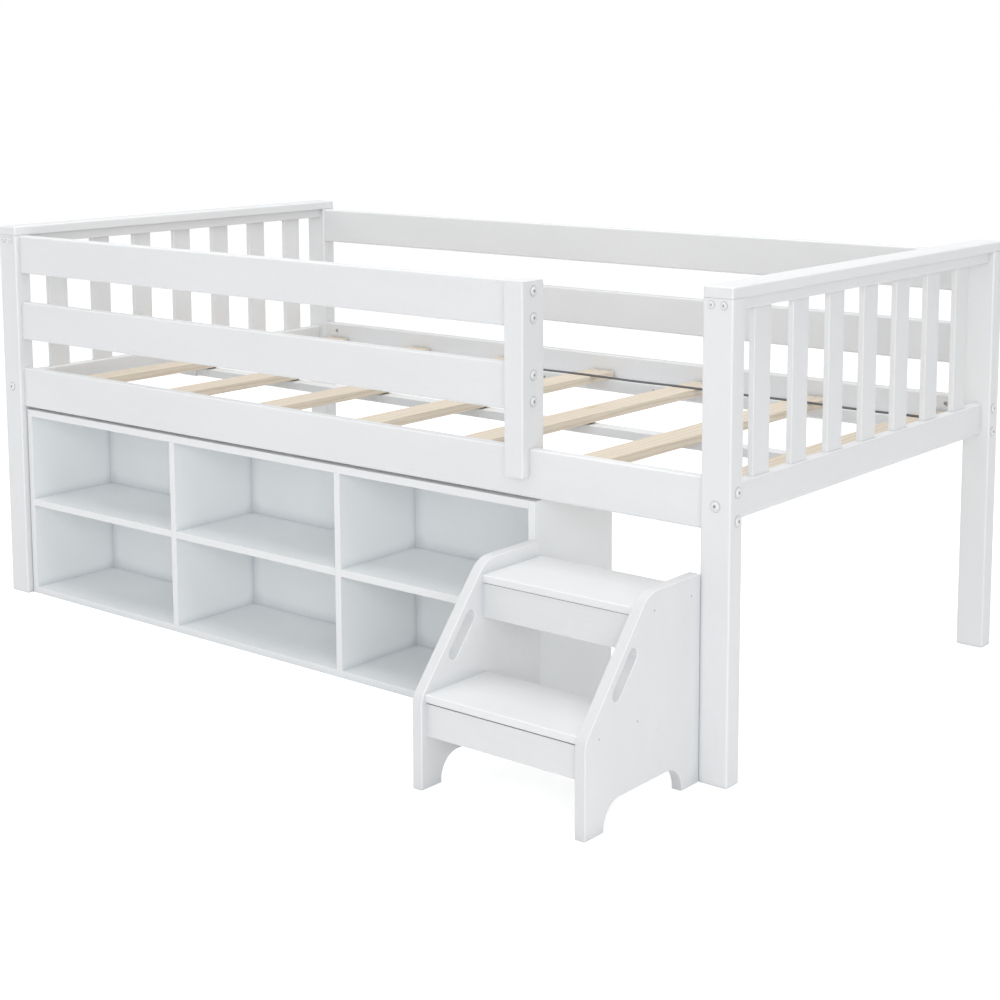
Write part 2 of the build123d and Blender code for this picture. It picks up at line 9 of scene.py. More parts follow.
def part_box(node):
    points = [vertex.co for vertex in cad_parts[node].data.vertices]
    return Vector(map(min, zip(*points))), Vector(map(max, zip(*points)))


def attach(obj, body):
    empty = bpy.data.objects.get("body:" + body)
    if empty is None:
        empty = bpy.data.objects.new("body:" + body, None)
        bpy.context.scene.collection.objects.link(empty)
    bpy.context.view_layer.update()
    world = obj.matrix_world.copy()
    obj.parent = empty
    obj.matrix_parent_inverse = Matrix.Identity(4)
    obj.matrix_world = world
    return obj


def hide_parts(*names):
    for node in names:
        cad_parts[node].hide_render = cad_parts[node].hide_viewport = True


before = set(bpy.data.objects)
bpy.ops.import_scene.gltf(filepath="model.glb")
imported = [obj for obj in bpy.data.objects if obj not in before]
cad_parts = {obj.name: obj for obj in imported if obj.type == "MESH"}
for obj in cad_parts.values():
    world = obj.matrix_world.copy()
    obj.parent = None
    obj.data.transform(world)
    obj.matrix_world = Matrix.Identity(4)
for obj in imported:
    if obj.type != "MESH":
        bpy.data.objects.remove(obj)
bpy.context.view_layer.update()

# The low loft bed's looks: painted wood, coated bookcase boards, bare pine slats, webbing,
# pads and bolt heads. Lengths are in metres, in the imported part's own frame.

bl_info = {
    "name": "Low loft bed",
    "version": (1, 0, 0),
    "blender": (4, 5, 0),
    "location": "3D View > Sidebar > Loft bed",
    "description": "Finishes the low loft bed with its bookcase and stool, and sets its stage",
    "category": "Object",
}

AXES = {"X": 0, "Y": 1, "Z": 2}
MM = 0.001
MICRON = 0.000001

# CAD nodes by the way that their grain runs
FRAME_BOARDS = {
    "X": (
        "front_side_rail", "back_side_rail", "front_lower_guard", "back_lower_guard",
        "front_upper_guard", "back_upper_guard", "front_slat_ledger", "back_slat_ledger",
        "centre_beam",
    ),
    "Y": (
        "left_cap_board", "right_cap_board", "left_top_rail", "right_top_rail",
        "left_bottom_rail", "right_bottom_rail",
    ),
    "Z": (
        "front_left_post", "front_right_post", "back_left_post", "back_right_post",
        "guard_upright", "left_end_slats", "right_end_slats",
    ),
}
STOOL_TREADS = ("lower_tread", "upper_tread")
STOOL_APRONS = ("lower_apron", "upper_apron")
STOOL_SIDES = ("step_left_side", "step_right_side")
BOOKCASE_BOARDS = (
    "bookcase_left_side", "bookcase_right_side", "bookcase_top", "bookcase_bottom",
    "bookcase_divider_1", "bookcase_divider_2", "bookcase_shelf_1", "bookcase_shelf_2",
    "bookcase_shelf_3",
)
SLATS = tuple(f"mattress_slat_{number}" for number in range(1, 8))
BOLTS = ("side_rail_bolts", "short_bolts", "top_rail_bolts")

# Webbing strip and pads: how finely they are cut up
STRAP_STEP = 6 * MM
STRAP_LANES = 6
PAD_CORNER = 5 * MM
CORNER_STEPS = 5

# Bolt: socket, flange and shank, apart from what the CAD node gives
SOCKET_FLAT = 2.5 * MM
SOCKET_DEPTH = 2.2 * MM
FLANGE_THICKNESS = 1.0 * MM
GROOVE_DEPTH = 2.1 * MM
SHANK_RADIUS = 3.0 * MM
TIP_RADIUS = 2.2 * MM
TIP_LENGTH = 1.0 * MM
BOLT_STEPS = 42
# How wide the turned finish lies round the bolt, for each radian
TURN_WIDTH = 0.16

# Stage: lengths in metres, but the sensor's width in millimetres
FLOOR_REACH = 40.0
FLOOR_GLOW = 0.57
FLOOR_TONES = (0.88, 0.90)
SENSOR_WIDTH = 36.0
LAMP_AIM = Vector((0.0, 0.0, 0.4))
# Each lamp: where it hangs, and the side of its square
LAMPS = {
    "left": (Vector((-3.4, -4.2, 3.2)), 3.0),
    "right": (Vector((5.3, -6.0, 2.6)), 4.0),
    "top": (Vector((0.4, 0.0, 4.6)), 4.0),
}


# Settings that a user would change

class PaintSettings(bpy.types.PropertyGroup):
    """The satin paint on the bed frame and the stool."""
    colour: FloatVectorProperty(
        name="Paint colour", description="Colour of the satin paint",
        subtype="COLOR", size=3, min=0.0, max=1.0, default=(0.835, 0.845, 0.858),
    )
    # Painted highlight: a lighter paint colour on the rounded edges, where the lamps catch them.
    edge_highlight: FloatVectorProperty(
        name="Arris colour", description="Colour of the paint where it is rubbed bright on an edge",
        subtype="COLOR", size=3, min=0.0, max=1.0, default=(0.945, 0.950, 0.955),
    )
    # Painted shade: a darker paint colour in corners and creases, where shade falls.
    corner_shade: FloatVectorProperty(
        name="Crease colour", description="Colour of the paint where it thickens in a corner",
        subtype="COLOR", size=3, min=0.0, max=1.0, default=(0.66, 0.685, 0.705),
    )
    roughness: FloatProperty(
        name="Roughness", description="How matt the paint is", default=0.40, min=0.0, max=1.0,
    )
    grain_height: FloatProperty(
        name="Grain height", description="How far the wood's grain stands up under the paint",
        subtype="DISTANCE", default=0.00009, min=0.0, precision=5,
    )


class BoardSettings(bpy.types.PropertyGroup):
    """The coated boards of the bookcase."""
    colour: FloatVectorProperty(
        name="Board colour", description="Colour of the coated faces",
        subtype="COLOR", size=3, min=0.0, max=1.0, default=(0.915, 0.938, 0.950),
    )
    edge_colour: FloatVectorProperty(
        name="Edge band colour", description="Colour of the band on the front edges",
        subtype="COLOR", size=3, min=0.0, max=1.0, default=(0.865, 0.876, 0.888),
    )
    # Painted shade: a darker coating colour in the corners of the cubbies, where shade falls.
    corner_shade: FloatVectorProperty(
        name="Crease colour", description="Colour of the coating in the corners of the cubbies",
        subtype="COLOR", size=3, min=0.0, max=1.0, default=(0.70, 0.74, 0.76),
    )
    roughness: FloatProperty(
        name="Roughness", description="How matt the coating is", default=0.48, min=0.0, max=1.0,
    )


class PineSettings(bpy.types.PropertyGroup):
    """The bare pine of the mattress slats."""
    early_colour: FloatVectorProperty(
        name="Early wood", description="Colour of the pale wood between the grain lines",
        subtype="COLOR", size=3, min=0.0, max=1.0, default=(0.800, 0.718, 0.600),
    )
    late_colour: FloatVectorProperty(
        name="Late wood", description="Colour of the grain lines",
        subtype="COLOR", size=3, min=0.0, max=1.0, default=(0.600, 0.470, 0.330),
    )
    knot_colour: FloatVectorProperty(
        name="Knot", description="Colour of the knots",
        subtype="COLOR", size=3, min=0.0, max=1.0, default=(0.330, 0.200, 0.110),
    )


class StrapSettings(bpy.types.PropertyGroup):
    """The webbing along the mattress slats."""
    colour: FloatVectorProperty(
        name="Webbing colour", description="Colour of the woven webbing",
        subtype="COLOR", size=3, min=0.0, max=1.0, default=(0.022, 0.022, 0.025),
    )
    thickness: FloatProperty(
        name="Thickness", description="Thickness of the webbing",
        subtype="DISTANCE", default=0.0011, min=0.0002, precision=4,
    )
    sag: FloatProperty(
        name="Sag", description="How far the webbing sags between two slats",
        subtype="DISTANCE", default=0.0012, min=0.0, precision=4,
    )


class HardwareSettings(bpy.types.PropertyGroup):
    """Bolt heads, screws, hangers and nuts."""
    bolt_colour: FloatVectorProperty(
        name="Bolt colour", description="Colour of the lacquered bolt heads",
        subtype="COLOR", size=3, min=0.0, max=1.0, default=(0.80, 0.81, 0.82),
    )
    screw_colour: FloatVectorProperty(
        name="Screw colour", description="Colour of the zinc screws and nuts",
        subtype="COLOR", size=3, min=0.0, max=1.0, default=(0.62, 0.62, 0.61),
    )


class StageSettings(bpy.types.PropertyGroup):
    """Camera, lamps and floor."""
    place: FloatVectorProperty(
        name="Camera place", description="Where the camera stands",
        subtype="TRANSLATION", size=3, default=(2.6717, -3.0194, 1.2460),
    )
    pan: FloatProperty(
        name="Pan", description="Turn of the camera to the left of the Y axis",
        subtype="ANGLE", default=math.radians(39.197),
    )
    tilt: FloatProperty(
        name="Tilt", description="How far the camera looks down",
        subtype="ANGLE", default=math.radians(7.747),
    )
    roll: FloatProperty(
        name="Roll", description="Turn of the camera about its own axis",
        subtype="ANGLE", default=math.radians(-0.172),
    )
    lens: FloatProperty(
        name="Lens", description="Focal length on a 36 mm sensor, in millimetres",
        default=67.448, min=1.0,
    )
    rise: FloatProperty(
        name="Shift", description="Upright shift of the lens, as a share of the picture's width",
        default=-0.18,
    )
    sky: FloatProperty(
        name="Sky strength", description="Strength of the even light from all round",
        default=0.51, min=0.0,
    )
    left: FloatProperty(
        name="Left lamp", description="Strength of the soft lamp at the front left",
        subtype="POWER", default=30.0, min=0.0,
    )
    right: FloatProperty(
        name="Right lamp", description="Strength of the soft lamp off the front right corner",
        subtype="POWER", default=178.0, min=0.0,
    )
    top: FloatProperty(
        name="Top lamp", description="Strength of the soft lamp overhead",
        subtype="POWER", default=98.0, min=0.0,
    )


# Shader helpers

class Shader:
    """A material with a principled shader and short ways to add nodes to it."""

    def __init__(self, name):
        self.material = bpy.data.materials.new(name)
        self.material.use_nodes = True
        self.nodes = self.material.node_tree.nodes
        self.links = self.material.node_tree.links
        self.body = self.nodes["Principled BSDF"]
        self.place = self.node("ShaderNodeTexCoord").outputs["Object"]

    def node(self, kind, **settings):
        made = self.nodes.new(kind)
        for key, value in settings.items():
            setattr(made, key, value)
        return made

    def feed(self, socket, value):
        if isinstance(value, bpy.types.NodeSocket):
            self.links.new(value, socket)
        else:
            socket.default_value = value

    def math(self, operation, first, second=0.0, third=0.0):
        made = self.node("ShaderNodeMath", operation=operation)
        for socket, value in zip(made.inputs, (first, second, third)):
            self.feed(socket, value)
        return made.outputs[0]

    def stretched(self, scale, source=None, shift=(0.0, 0.0, 0.0)):
        """Coordinates scaled apart along the three axes."""
        made = self.node("ShaderNodeMapping")
        self.feed(made.inputs["Vector"], source or self.place)
        made.inputs["Scale"].default_value = scale
        made.inputs["Location"].default_value = shift
        return made.outputs[0]

    def noise(self, where, scale, detail=4.0, roughness=0.5, distortion=0.0):
        made = self.node("ShaderNodeTexNoise")
        self.feed(made.inputs["Vector"], where)
        made.inputs["Scale"].default_value = scale
        made.inputs["Detail"].default_value = detail
        made.inputs["Roughness"].default_value = roughness
        made.inputs["Distortion"].default_value = distortion
        return made.outputs["Fac"]

    def ranged(self, value, low, high, to_low=0.0, to_high=1.0, smooth=True):
        """Value taken from one range to another, and held at its ends."""
        made = self.node("ShaderNodeMapRange")
        made.interpolation_type = "SMOOTHSTEP" if smooth else "LINEAR"
        for socket, number in zip(made.inputs, (value, low, high, to_low, to_high)):
            self.feed(socket, number)
        return made.outputs[0]

    def mix(self, factor, first, second):
        """A blend of two colours."""
        made = self.node("ShaderNodeMix", data_type="RGBA")
        self.feed(made.inputs["Factor"], factor)
        for name, value in (("A", first), ("B", second)):
            socket = next(s for s in made.inputs if s.name == name and s.type == "RGBA")
            self.feed(socket, value)
        return next(s for s in made.outputs if s.type == "RGBA")

    def split(self, source):
        made = self.node("ShaderNodeSeparateXYZ")
        self.feed(made.inputs[0], source)
        return made.outputs

    def spread(self, noise, to_low=0.0, to_high=1.0):
        """A noise, which mostly keeps between 0.3 and 0.7, taken to another range."""
        return self.ranged(noise, 0.3, 0.7, to_low, to_high)

    def bump(self, height, distance, below=None):
        """A bump as high as that distance, over another bump where one is given."""
        made = self.node("ShaderNodeBump")
        made.inputs["Strength"].default_value = 1.0
        made.inputs["Distance"].default_value = distance
        self.feed(made.inputs["Height"], height)
        if below is not None:
            self.feed(made.inputs["Normal"], below)
        return made.outputs[0]

    def facing(self):
        """The way that the surface faces, in the piece's own axes."""
        return self.split(self.node("ShaderNodeTexCoord").outputs["Normal"])

    def arrises(self):
        """1 on rounded edges, and 0 on faces that are square to an axis."""
        facing = self.facing()
        square = [self.math("ABSOLUTE", facing[axis]) for axis in "XYZ"]
        flat = self.math("MAXIMUM", self.math("MAXIMUM", square[0], square[1]), square[2])
        return self.ranged(self.math("SUBTRACT", 1.0, flat), low=0.15, high=0.26)

    def shade_in_corners(self, reach, own=False):
        """1 on open faces, and less in the corners within that reach: the mask for painted shade.
        """
        made = self.node("ShaderNodeAmbientOcclusion", samples=6, only_local=own)
        made.inputs["Distance"].default_value = reach
        return made.outputs["AO"]

    def finish(self, colour, roughness, normal=None, **constants):
        self.feed(self.body.inputs["Base Color"], colour)
        self.feed(self.body.inputs["Roughness"], roughness)
        if normal is not None:
            self.feed(self.body.inputs["Normal"], normal)
        for name, value in constants.items():
            self.body.inputs[name.replace("_", " ")].default_value = value
        return self.material


def rgba(colour, level=1.0):
    return (*(channel * level for channel in colour), 1.0)


def along(axis, coarse):
    """A scale that is coarse along one axis and 1 across it."""
    scale = [1.0] * 3
    scale[AXES[axis]] = coarse
    return tuple(scale)


def paint_nodes(names, material):
    """Gives CAD nodes their finish through their material slots."""
    for name in names:
        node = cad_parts[name]
        if not node.material_slots:
            node.data.materials.append(material)
        for slot in node.material_slots:
            slot.material = material


def add_piece(name, mesh, material, node):
    """Turns a finished bmesh into a piece of the bed frame that stands for a CAD node."""
    data = bpy.data.meshes.new(name)
    mesh.to_mesh(data)
    mesh.free()
    data.materials.append(material)
    piece = bpy.data.objects.new(name, data)
    bpy.context.scene.collection.objects.link(piece)
    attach(piece, "bed_frame")
    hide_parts(node)


# Materials

def satin_paint(axis, settings, name="satin_paint", level=1.0, cut=None, reach=14 * MM):
    """Sprayed satin paint on wood whose grain runs along one axis and just shows through.

    The level is that of the whole coat, raised or lowered for lit and shaded copies of the paint,
    and cut that of the painted shade on the edges of a panel square to X. Painted shade darkens the
    corners within that reach.
    """
    shader = Shader(f"{name}_{axis.lower()}")
    base = [channel * level for channel in settings.colour]
    drawn_out = shader.stretched(along(axis, coarse=0.035))
    grain = shader.noise(drawn_out, scale=420.0, detail=5.0, roughness=0.62, distortion=0.4)
    pores = shader.ranged(grain, low=0.36, high=0.52)
    spray = shader.noise(shader.place, scale=950.0, detail=2.0)
    long_clouds = shader.stretched(along(axis, coarse=0.25))
    cloud = shader.spread(shader.noise(long_clouds, scale=9.0, detail=2.0))
    sprayed = shader.mix(cloud, rgba(base, level=0.985), rgba(base, level=1.012))
    sunk = shader.ranged(pores, low=0.0, high=1.0, to_low=0.4, to_high=0.2, smooth=False)
    colour = shader.mix(sunk, sprayed, rgba(base, level=0.965))
    # Painted highlight on the rounded edges.
    colour = shader.mix(shader.arrises(), colour, rgba(settings.edge_highlight))
    # Painted shade on the edges of the panel: its slope and the walls of its hand slots.
    if cut is not None:
        across = shader.math("ABSOLUTE", shader.facing()["X"])
        edges = shader.ranged(across, low=0.3, high=0.7, to_low=1.0, to_high=0.0)
        colour = shader.mix(edges, colour, rgba(base, level=cut))
    # Painted shade in the corners within that reach.
    open_face = shader.ranged(shader.shade_in_corners(reach), low=0.3, high=0.8)
    colour = shader.mix(open_face, rgba(settings.corner_shade), colour)
    gloss = shader.spread(spray, settings.roughness - 0.04, settings.roughness + 0.05)
    surface = shader.bump(pores, settings.grain_height)
    surface = shader.bump(spray, 30 * MICRON, surface)
    return shader.finish(colour, gloss, surface, Coat_Weight=0.08, Coat_Roughness=0.25)


def coated_board(settings):
    """Coated board: fine stipple on its faces, and a band on the edges that face the front."""
    shader = Shader("coated_board")
    stipple = shader.noise(shader.place, scale=1300.0, detail=2.0, roughness=0.55)
    cells = shader.noise(shader.place, scale=260.0, detail=3.0, roughness=0.6)
    broad = shader.spread(shader.noise(shader.place, scale=5.0, detail=2.0))
    face = shader.mix(broad, rgba(settings.colour, level=0.99), rgba(settings.colour, level=1.01))

    # The edge band, and the fine seam where it meets the face
    low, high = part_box("bookcase_top")
    depth, height = (shader.split(shader.place)[axis] for axis in "YZ")
    band_end = low.y + 1.0 * MM
    soft = 0.1 * MM
    band = shader.ranged(depth, band_end - soft, band_end + soft, to_low=1.0, to_high=0.0)
    seam_in = shader.ranged(depth, band_end - soft, band_end)
    seam_out = shader.ranged(
        depth, band_end + 1.5 * soft, band_end + 3 * soft, to_low=1.0, to_high=0.0,
    )
    seam = shader.math("MULTIPLY", shader.math("MULTIPLY", seam_in, seam_out), 0.35)
    colour = shader.mix(band, face, rgba(settings.edge_colour))
    colour = shader.mix(seam, colour, rgba(settings.colour, level=0.7))

    # Painted shade in the corners of the cubbies.
    open_face = shader.ranged(shader.shade_in_corners(26 * MM), low=0.3, high=0.85)
    colour = shader.mix(open_face, rgba(settings.corner_shade), colour)
    # Painted shade: the top face is darkened to the edge band's colour, so the top lamp doesn't
    # light it to white.
    shaded_top = shader.ranged(height, high.z - 1.0 * MM, high.z - 0.2 * MM)
    colour = shader.mix(shaded_top, colour, rgba(settings.edge_colour, level=0.97))
    gloss = shader.spread(cells, settings.roughness - 0.05, settings.roughness + 0.05)
    surface = shader.bump(cells, 40 * MICRON, shader.bump(stipple, 40 * MICRON))
    return shader.finish(colour, gloss, surface)


def thin_panel(settings):
    """The bookcase's back panel: coated fibreboard, a little rougher than the boards."""
    shader = Shader("thin_back_panel")
    upright = shader.stretched((1.0, 1.0, 0.4))
    fibre = shader.noise(upright, scale=700.0, detail=4.0, roughness=0.6)
    broad = shader.spread(shader.noise(shader.place, scale=4.0, detail=2.0))
    colour = shader.mix(broad, rgba(settings.colour), rgba(settings.colour, level=1.03))
    # Painted shade in the corners where the boards meet the back panel.
    open_face = shader.ranged(shader.shade_in_corners(36 * MM), low=0.35, high=0.9)
    colour = shader.mix(open_face, rgba(settings.corner_shade), colour)
    return shader.finish(colour, shader.spread(fibre, 0.5, 0.62), shader.bump(fibre, 60 * MICRON))


def bare_pine(settings):
    """Planed pine with its grain along Y, a few small knots, and rings on the sawn ends."""
    shader = Shader("bare_pine")

    # The growth rings, bent a little by a slow noise
    bent = shader.node("ShaderNodeTexNoise", noise_dimensions="3D")
    bent.inputs["Scale"].default_value = 3.0
    bent.inputs["Detail"].default_value = 2.0
    shader.feed(bent.inputs["Vector"], shader.stretched((1.0, 0.35, 1.0)))
    swirl = shader.node("ShaderNodeVectorMath", operation="MULTIPLY_ADD")
    shader.feed(swirl.inputs[0], bent.outputs["Color"])
    swirl.inputs[1].default_value = (0.05, 0.0, 0.05)
    shader.feed(swirl.inputs[2], shader.place)
    rings = shader.node("ShaderNodeTexWave", wave_type="BANDS", bands_direction="DIAGONAL")
    shader.feed(rings.inputs["Vector"], shader.stretched((1.0, 0.02, 1.35), swirl.outputs[0]))
    rings.inputs["Scale"].default_value = 42.0
    rings.inputs["Distortion"].default_value = 2.4
    rings.inputs["Detail"].default_value = 3.0
    rings.inputs["Detail Scale"].default_value = 1.2
    rings.inputs["Detail Roughness"].default_value = 0.6
    late = shader.ranged(rings.outputs["Fac"], low=0.55, high=0.98)

    drawn_out = shader.stretched((1.0, 0.02, 1.0))
    fibre = shader.noise(drawn_out, scale=900.0, detail=3.0, roughness=0.6)
    long_clouds = shader.stretched((1.0, 0.3, 1.0))
    broad = shader.spread(shader.noise(long_clouds, scale=7.0, detail=2.0))

    # The knots, longer than wide, each with a halo
    knots = shader.node("ShaderNodeTexVoronoi", feature="F1")
    knots.inputs["Scale"].default_value = 4.6
    scattered = shader.stretched((1.9, 1.0, 1.9), shift=(0.31, 0.13, 0.0))
    shader.feed(knots.inputs["Vector"], scattered)
    far = knots.outputs["Distance"]
    knot = shader.ranged(far, low=0.035, high=0.075, to_low=0.8, to_high=0.0)
    halo = shader.ranged(far, low=0.05, high=0.19, to_low=0.35, to_high=0.0)

    early_wood, late_wood = settings.early_colour, rgba(settings.late_colour)
    wood = shader.mix(broad, rgba(early_wood, level=0.96), rgba(early_wood, level=1.03))
    wood = shader.mix(shader.math("MULTIPLY", late, 0.42), wood, late_wood)
    strands = shader.ranged(fibre, low=0.35, high=0.75, to_low=0.16, to_high=0.0)
    wood = shader.mix(strands, wood, late_wood)
    wood = shader.mix(halo, wood, late_wood)
    wood = shader.mix(knot, wood, rgba(settings.knot_colour))
    surface = shader.bump(late, 50 * MICRON, shader.bump(fibre, 90 * MICRON))
    return shader.finish(wood, shader.spread(fibre, 0.66, 0.55), surface)


def woven_webbing(settings):
    """Flat black webbing: slanted ribs in a herringbone, and fine warp threads along it."""
    fold_width = 5 * MM
    rib_pitch = 1.6 * MM
    warp_pitch = 0.9 * MM
    shader = Shader("woven_webbing")
    uv = shader.split(shader.node("ShaderNodeUVMap", uv_map="weave").outputs[0])
    slant = shader.math("ADD", uv["Y"], shader.math("PINGPONG", uv["X"], fold_width))
    ribs = shader.math("SINE", shader.math("MULTIPLY", slant, math.tau / rib_pitch))
    warp = shader.math("SINE", shader.math("MULTIPLY", uv["X"], math.tau / warp_pitch))
    weave = shader.math("ADD", ribs, shader.math("MULTIPLY", warp, 0.5))
    # Painted shade and highlight: the weave is darker in its low parts and lighter on its ribs.
    rise = shader.ranged(weave, low=-1.5, high=1.5, smooth=False)
    thread = shader.mix(rise, rgba(settings.colour, level=0.55), rgba(settings.colour, level=1.6))
    lint = shader.noise(shader.place, scale=2400.0, detail=2.0)
    fuzz = shader.ranged(lint, low=0.5, high=0.8, to_low=0.0, to_high=0.3)
    thread = shader.mix(fuzz, thread, rgba(settings.colour, level=3.0))
    surface = shader.bump(rise, 200 * MICRON)
    return shader.finish(thread, 0.78, surface, Sheen_Weight=0.25, Sheen_Roughness=0.5)


def dark_rubber():
    """Matt moulded rubber of the pads between beam and slats."""
    shader = Shader("dark_rubber")
    grit = shader.noise(shader.place, scale=1500.0, detail=3.0, roughness=0.6)
    worn = shader.ranged(grit, low=0.35, high=0.7)
    colour = shader.mix(worn, rgba((0.02,) * 3), rgba((0.045,) * 3))
    return shader.finish(colour, shader.spread(grit, 0.62, 0.8), shader.bump(grit, 80 * MICRON))


def metal(name, colour, metallic, roughness, streaks, recess_shade=0.12):
    """Lacquered or plated steel, with painted shade darkening its sockets and recesses."""
    shader = Shader(name)
    turned = shader.noise(shader.place, scale=streaks, detail=3.0, roughness=0.6)
    lit = shader.mix(shader.spread(turned), rgba(colour, level=0.96), rgba(colour, level=1.03))
    # Painted shade in the sockets and recesses.
    open_face = shader.ranged(shader.shade_in_corners(3 * MM, own=True), low=0.35, high=0.85)
    lit = shader.mix(open_face, rgba(colour, level=recess_shade), lit)
    gloss = shader.spread(turned, roughness - 0.05, roughness + 0.06)
    return shader.finish(lit, gloss, shader.bump(turned, 20 * MICRON), Metallic=metallic)


def lacquered_bolt(settings):
    """Pale lacquer over a turned bolt head, with painted shade as a dark line at its rim, in its
    groove and in its socket.
    """
    shader = Shader("lacquered_bolt")
    lacquer = settings.bolt_colour
    turned = shader.node("ShaderNodeUVMap", uv_map="turned").outputs[0]
    speck = shader.noise(shader.place, scale=900.0, detail=3.0, roughness=0.6)
    fleck = shader.spread(speck)
    colour = shader.mix(fleck, rgba(lacquer, level=0.97), rgba(lacquer, level=1.02))

    # Painted shade at the rim, groove and socket, by their share of the flange's radius
    outward = shader.split(turned)["Y"]
    rim_shade = shader.ranged(outward, low=0.86, high=0.93)
    groove_in = shader.ranged(outward, low=0.66, high=0.69)
    groove_out = shader.ranged(outward, low=0.72, high=0.76, to_low=0.8, to_high=0.0)
    groove = shader.math("MULTIPLY", groove_in, groove_out)
    socket = shader.ranged(outward, low=0.24, high=0.31, to_low=1.0, to_high=0.0)
    colour = shader.mix(rim_shade, colour, rgba(lacquer, level=0.66))
    colour = shader.mix(groove, colour, rgba(lacquer, level=0.74))
    colour = shader.mix(socket, colour, rgba(lacquer, level=0.5))

    rings = shader.noise(shader.stretched((3.0, 260.0, 1.0), turned), scale=1.0, detail=2.0)
    return shader.finish(
        colour, shader.spread(speck, 0.33, 0.42), shader.bump(rings, 20 * MICRON),
        Metallic=0.2, Coat_Weight=0.15, Coat_Roughness=0.2,
    )


def fluted_beech():
    """Hardwood of the dowels, which only shows if a joint is taken apart."""
    shader = Shader("fluted_beech")
    drawn_out = shader.stretched((1.0, 0.2, 1.0))
    fleck = shader.noise(drawn_out, scale=800.0, detail=3.0, roughness=0.6)
    share = shader.ranged(fleck, low=0.35, high=0.65)
    colour = shader.mix(share, rgba((0.62, 0.42, 0.24)), rgba((0.76, 0.57, 0.36)))
    return shader.finish(colour, 0.6, shader.bump(fleck, 50 * MICRON))


# Operators, one for each group of like pieces

class LOFTBED_OT_paint_frame(bpy.types.Operator):
    """Paints the posts, rails, guards, caps and end slats of the bed"""
    bl_idname = "loftbed.paint_frame"
    bl_label = "Paint the bed frame"

    def execute(self, context):
        for axis, names in FRAME_BOARDS.items():
            paint_nodes(names, satin_paint(axis, context.scene.loftbed_paint))
        return {"FINISHED"}


class LOFTBED_OT_paint_stool(bpy.types.Operator):
    """Paints the side panels, treads and aprons of the stool"""
    bl_idname = "loftbed.paint_stool"
    bl_label = "Paint the stool"

    def execute(self, context):
        settings = context.scene.loftbed_paint
        # Painted light and shade: the treads get a lighter and the aprons a darker copy of the
        # paint, and the sides painted shade on their edges.
        paint_nodes(STOOL_TREADS, satin_paint("X", settings, "tread_paint", level=1.01))
        paint_nodes(STOOL_APRONS, satin_paint("X", settings, "apron_paint", level=0.945))
        paint_nodes(STOOL_SIDES, satin_paint("Z", settings, "side_paint", cut=0.9, reach=40 * MM))
        return {"FINISHED"}


class LOFTBED_OT_coat_bookcase(bpy.types.Operator):
    """Coats the boards and the back panel of the bookcase"""
    bl_idname = "loftbed.coat_bookcase"
    bl_label = "Coat the bookcase"

    def execute(self, context):
        paint_nodes(BOOKCASE_BOARDS, coated_board(context.scene.loftbed_board))
        paint_nodes(("bookcase_back",), thin_panel(context.scene.loftbed_board))
        return {"FINISHED"}


class LOFTBED_OT_finish_slats(bpy.types.Operator):
    """Gives the mattress slats their bare pine"""
    bl_idname = "loftbed.finish_slats"
    bl_label = "Finish the mattress slats"

    def execute(self, context):
        paint_nodes(SLATS, bare_pine(context.scene.loftbed_pine))
        return {"FINISHED"}


class LOFTBED_OT_lay_straps(bpy.types.Operator):
    """Lays the two webbing straps along the mattress slats"""
    bl_idname = "loftbed.lay_straps"
    bl_label = "Lay the webbing straps"

    def execute(self, context):
        settings = context.scene.loftbed_strap
        material = woven_webbing(settings)
        slats = [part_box(name) for name in SLATS]
        for side in ("front", "back"):
            node = f"{side}_slat_strap"
            low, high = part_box(node)
            strip = self.strip(low, high, slats, settings)
            add_piece(f"{side}_webbing", strip, material, node)
        return {"FINISHED"}

    def strip(self, low, high, slats, settings):
        """A woven strip that lies on each slat and sags a little in between."""
        lengths = round((high.x - low.x) / STRAP_STEP)
        strip = bmesh.new()
        bmesh.ops.create_grid(strip, x_segments=lengths, y_segments=STRAP_LANES, size=0.5)
        bmesh.ops.scale(strip, vec=(high.x - low.x, high.y - low.y, 1.0), verts=strip.verts)
        middle = ((low.x + high.x) / 2, (low.y + high.y) / 2, low.z)
        bmesh.ops.translate(strip, vec=middle, verts=strip.verts)
        for vert in strip.verts:
            vert.co.z -= settings.sag * self.hang(vert.co.x, slats)
        weave = strip.loops.layers.uv.new("weave")
        for face in strip.faces:
            for loop in face.loops:
                loop[weave].uv = (loop.vert.co.y - low.y, loop.vert.co.x - low.x)
        bmesh.ops.solidify(strip, geom=strip.faces[:], thickness=-settings.thickness)
        bmesh.ops.recalc_face_normals(strip, faces=strip.faces)
        return strip

    def hang(self, x, slats):
        """0 over a slat, 1 midway between two slats."""
        for (_, left), (right, _) in zip(slats, slats[1:]):
            if left.x < x < right.x:
                share = (x - left.x) / (right.x - left.x)
                return 4 * share * (1 - share)
        return 0.0


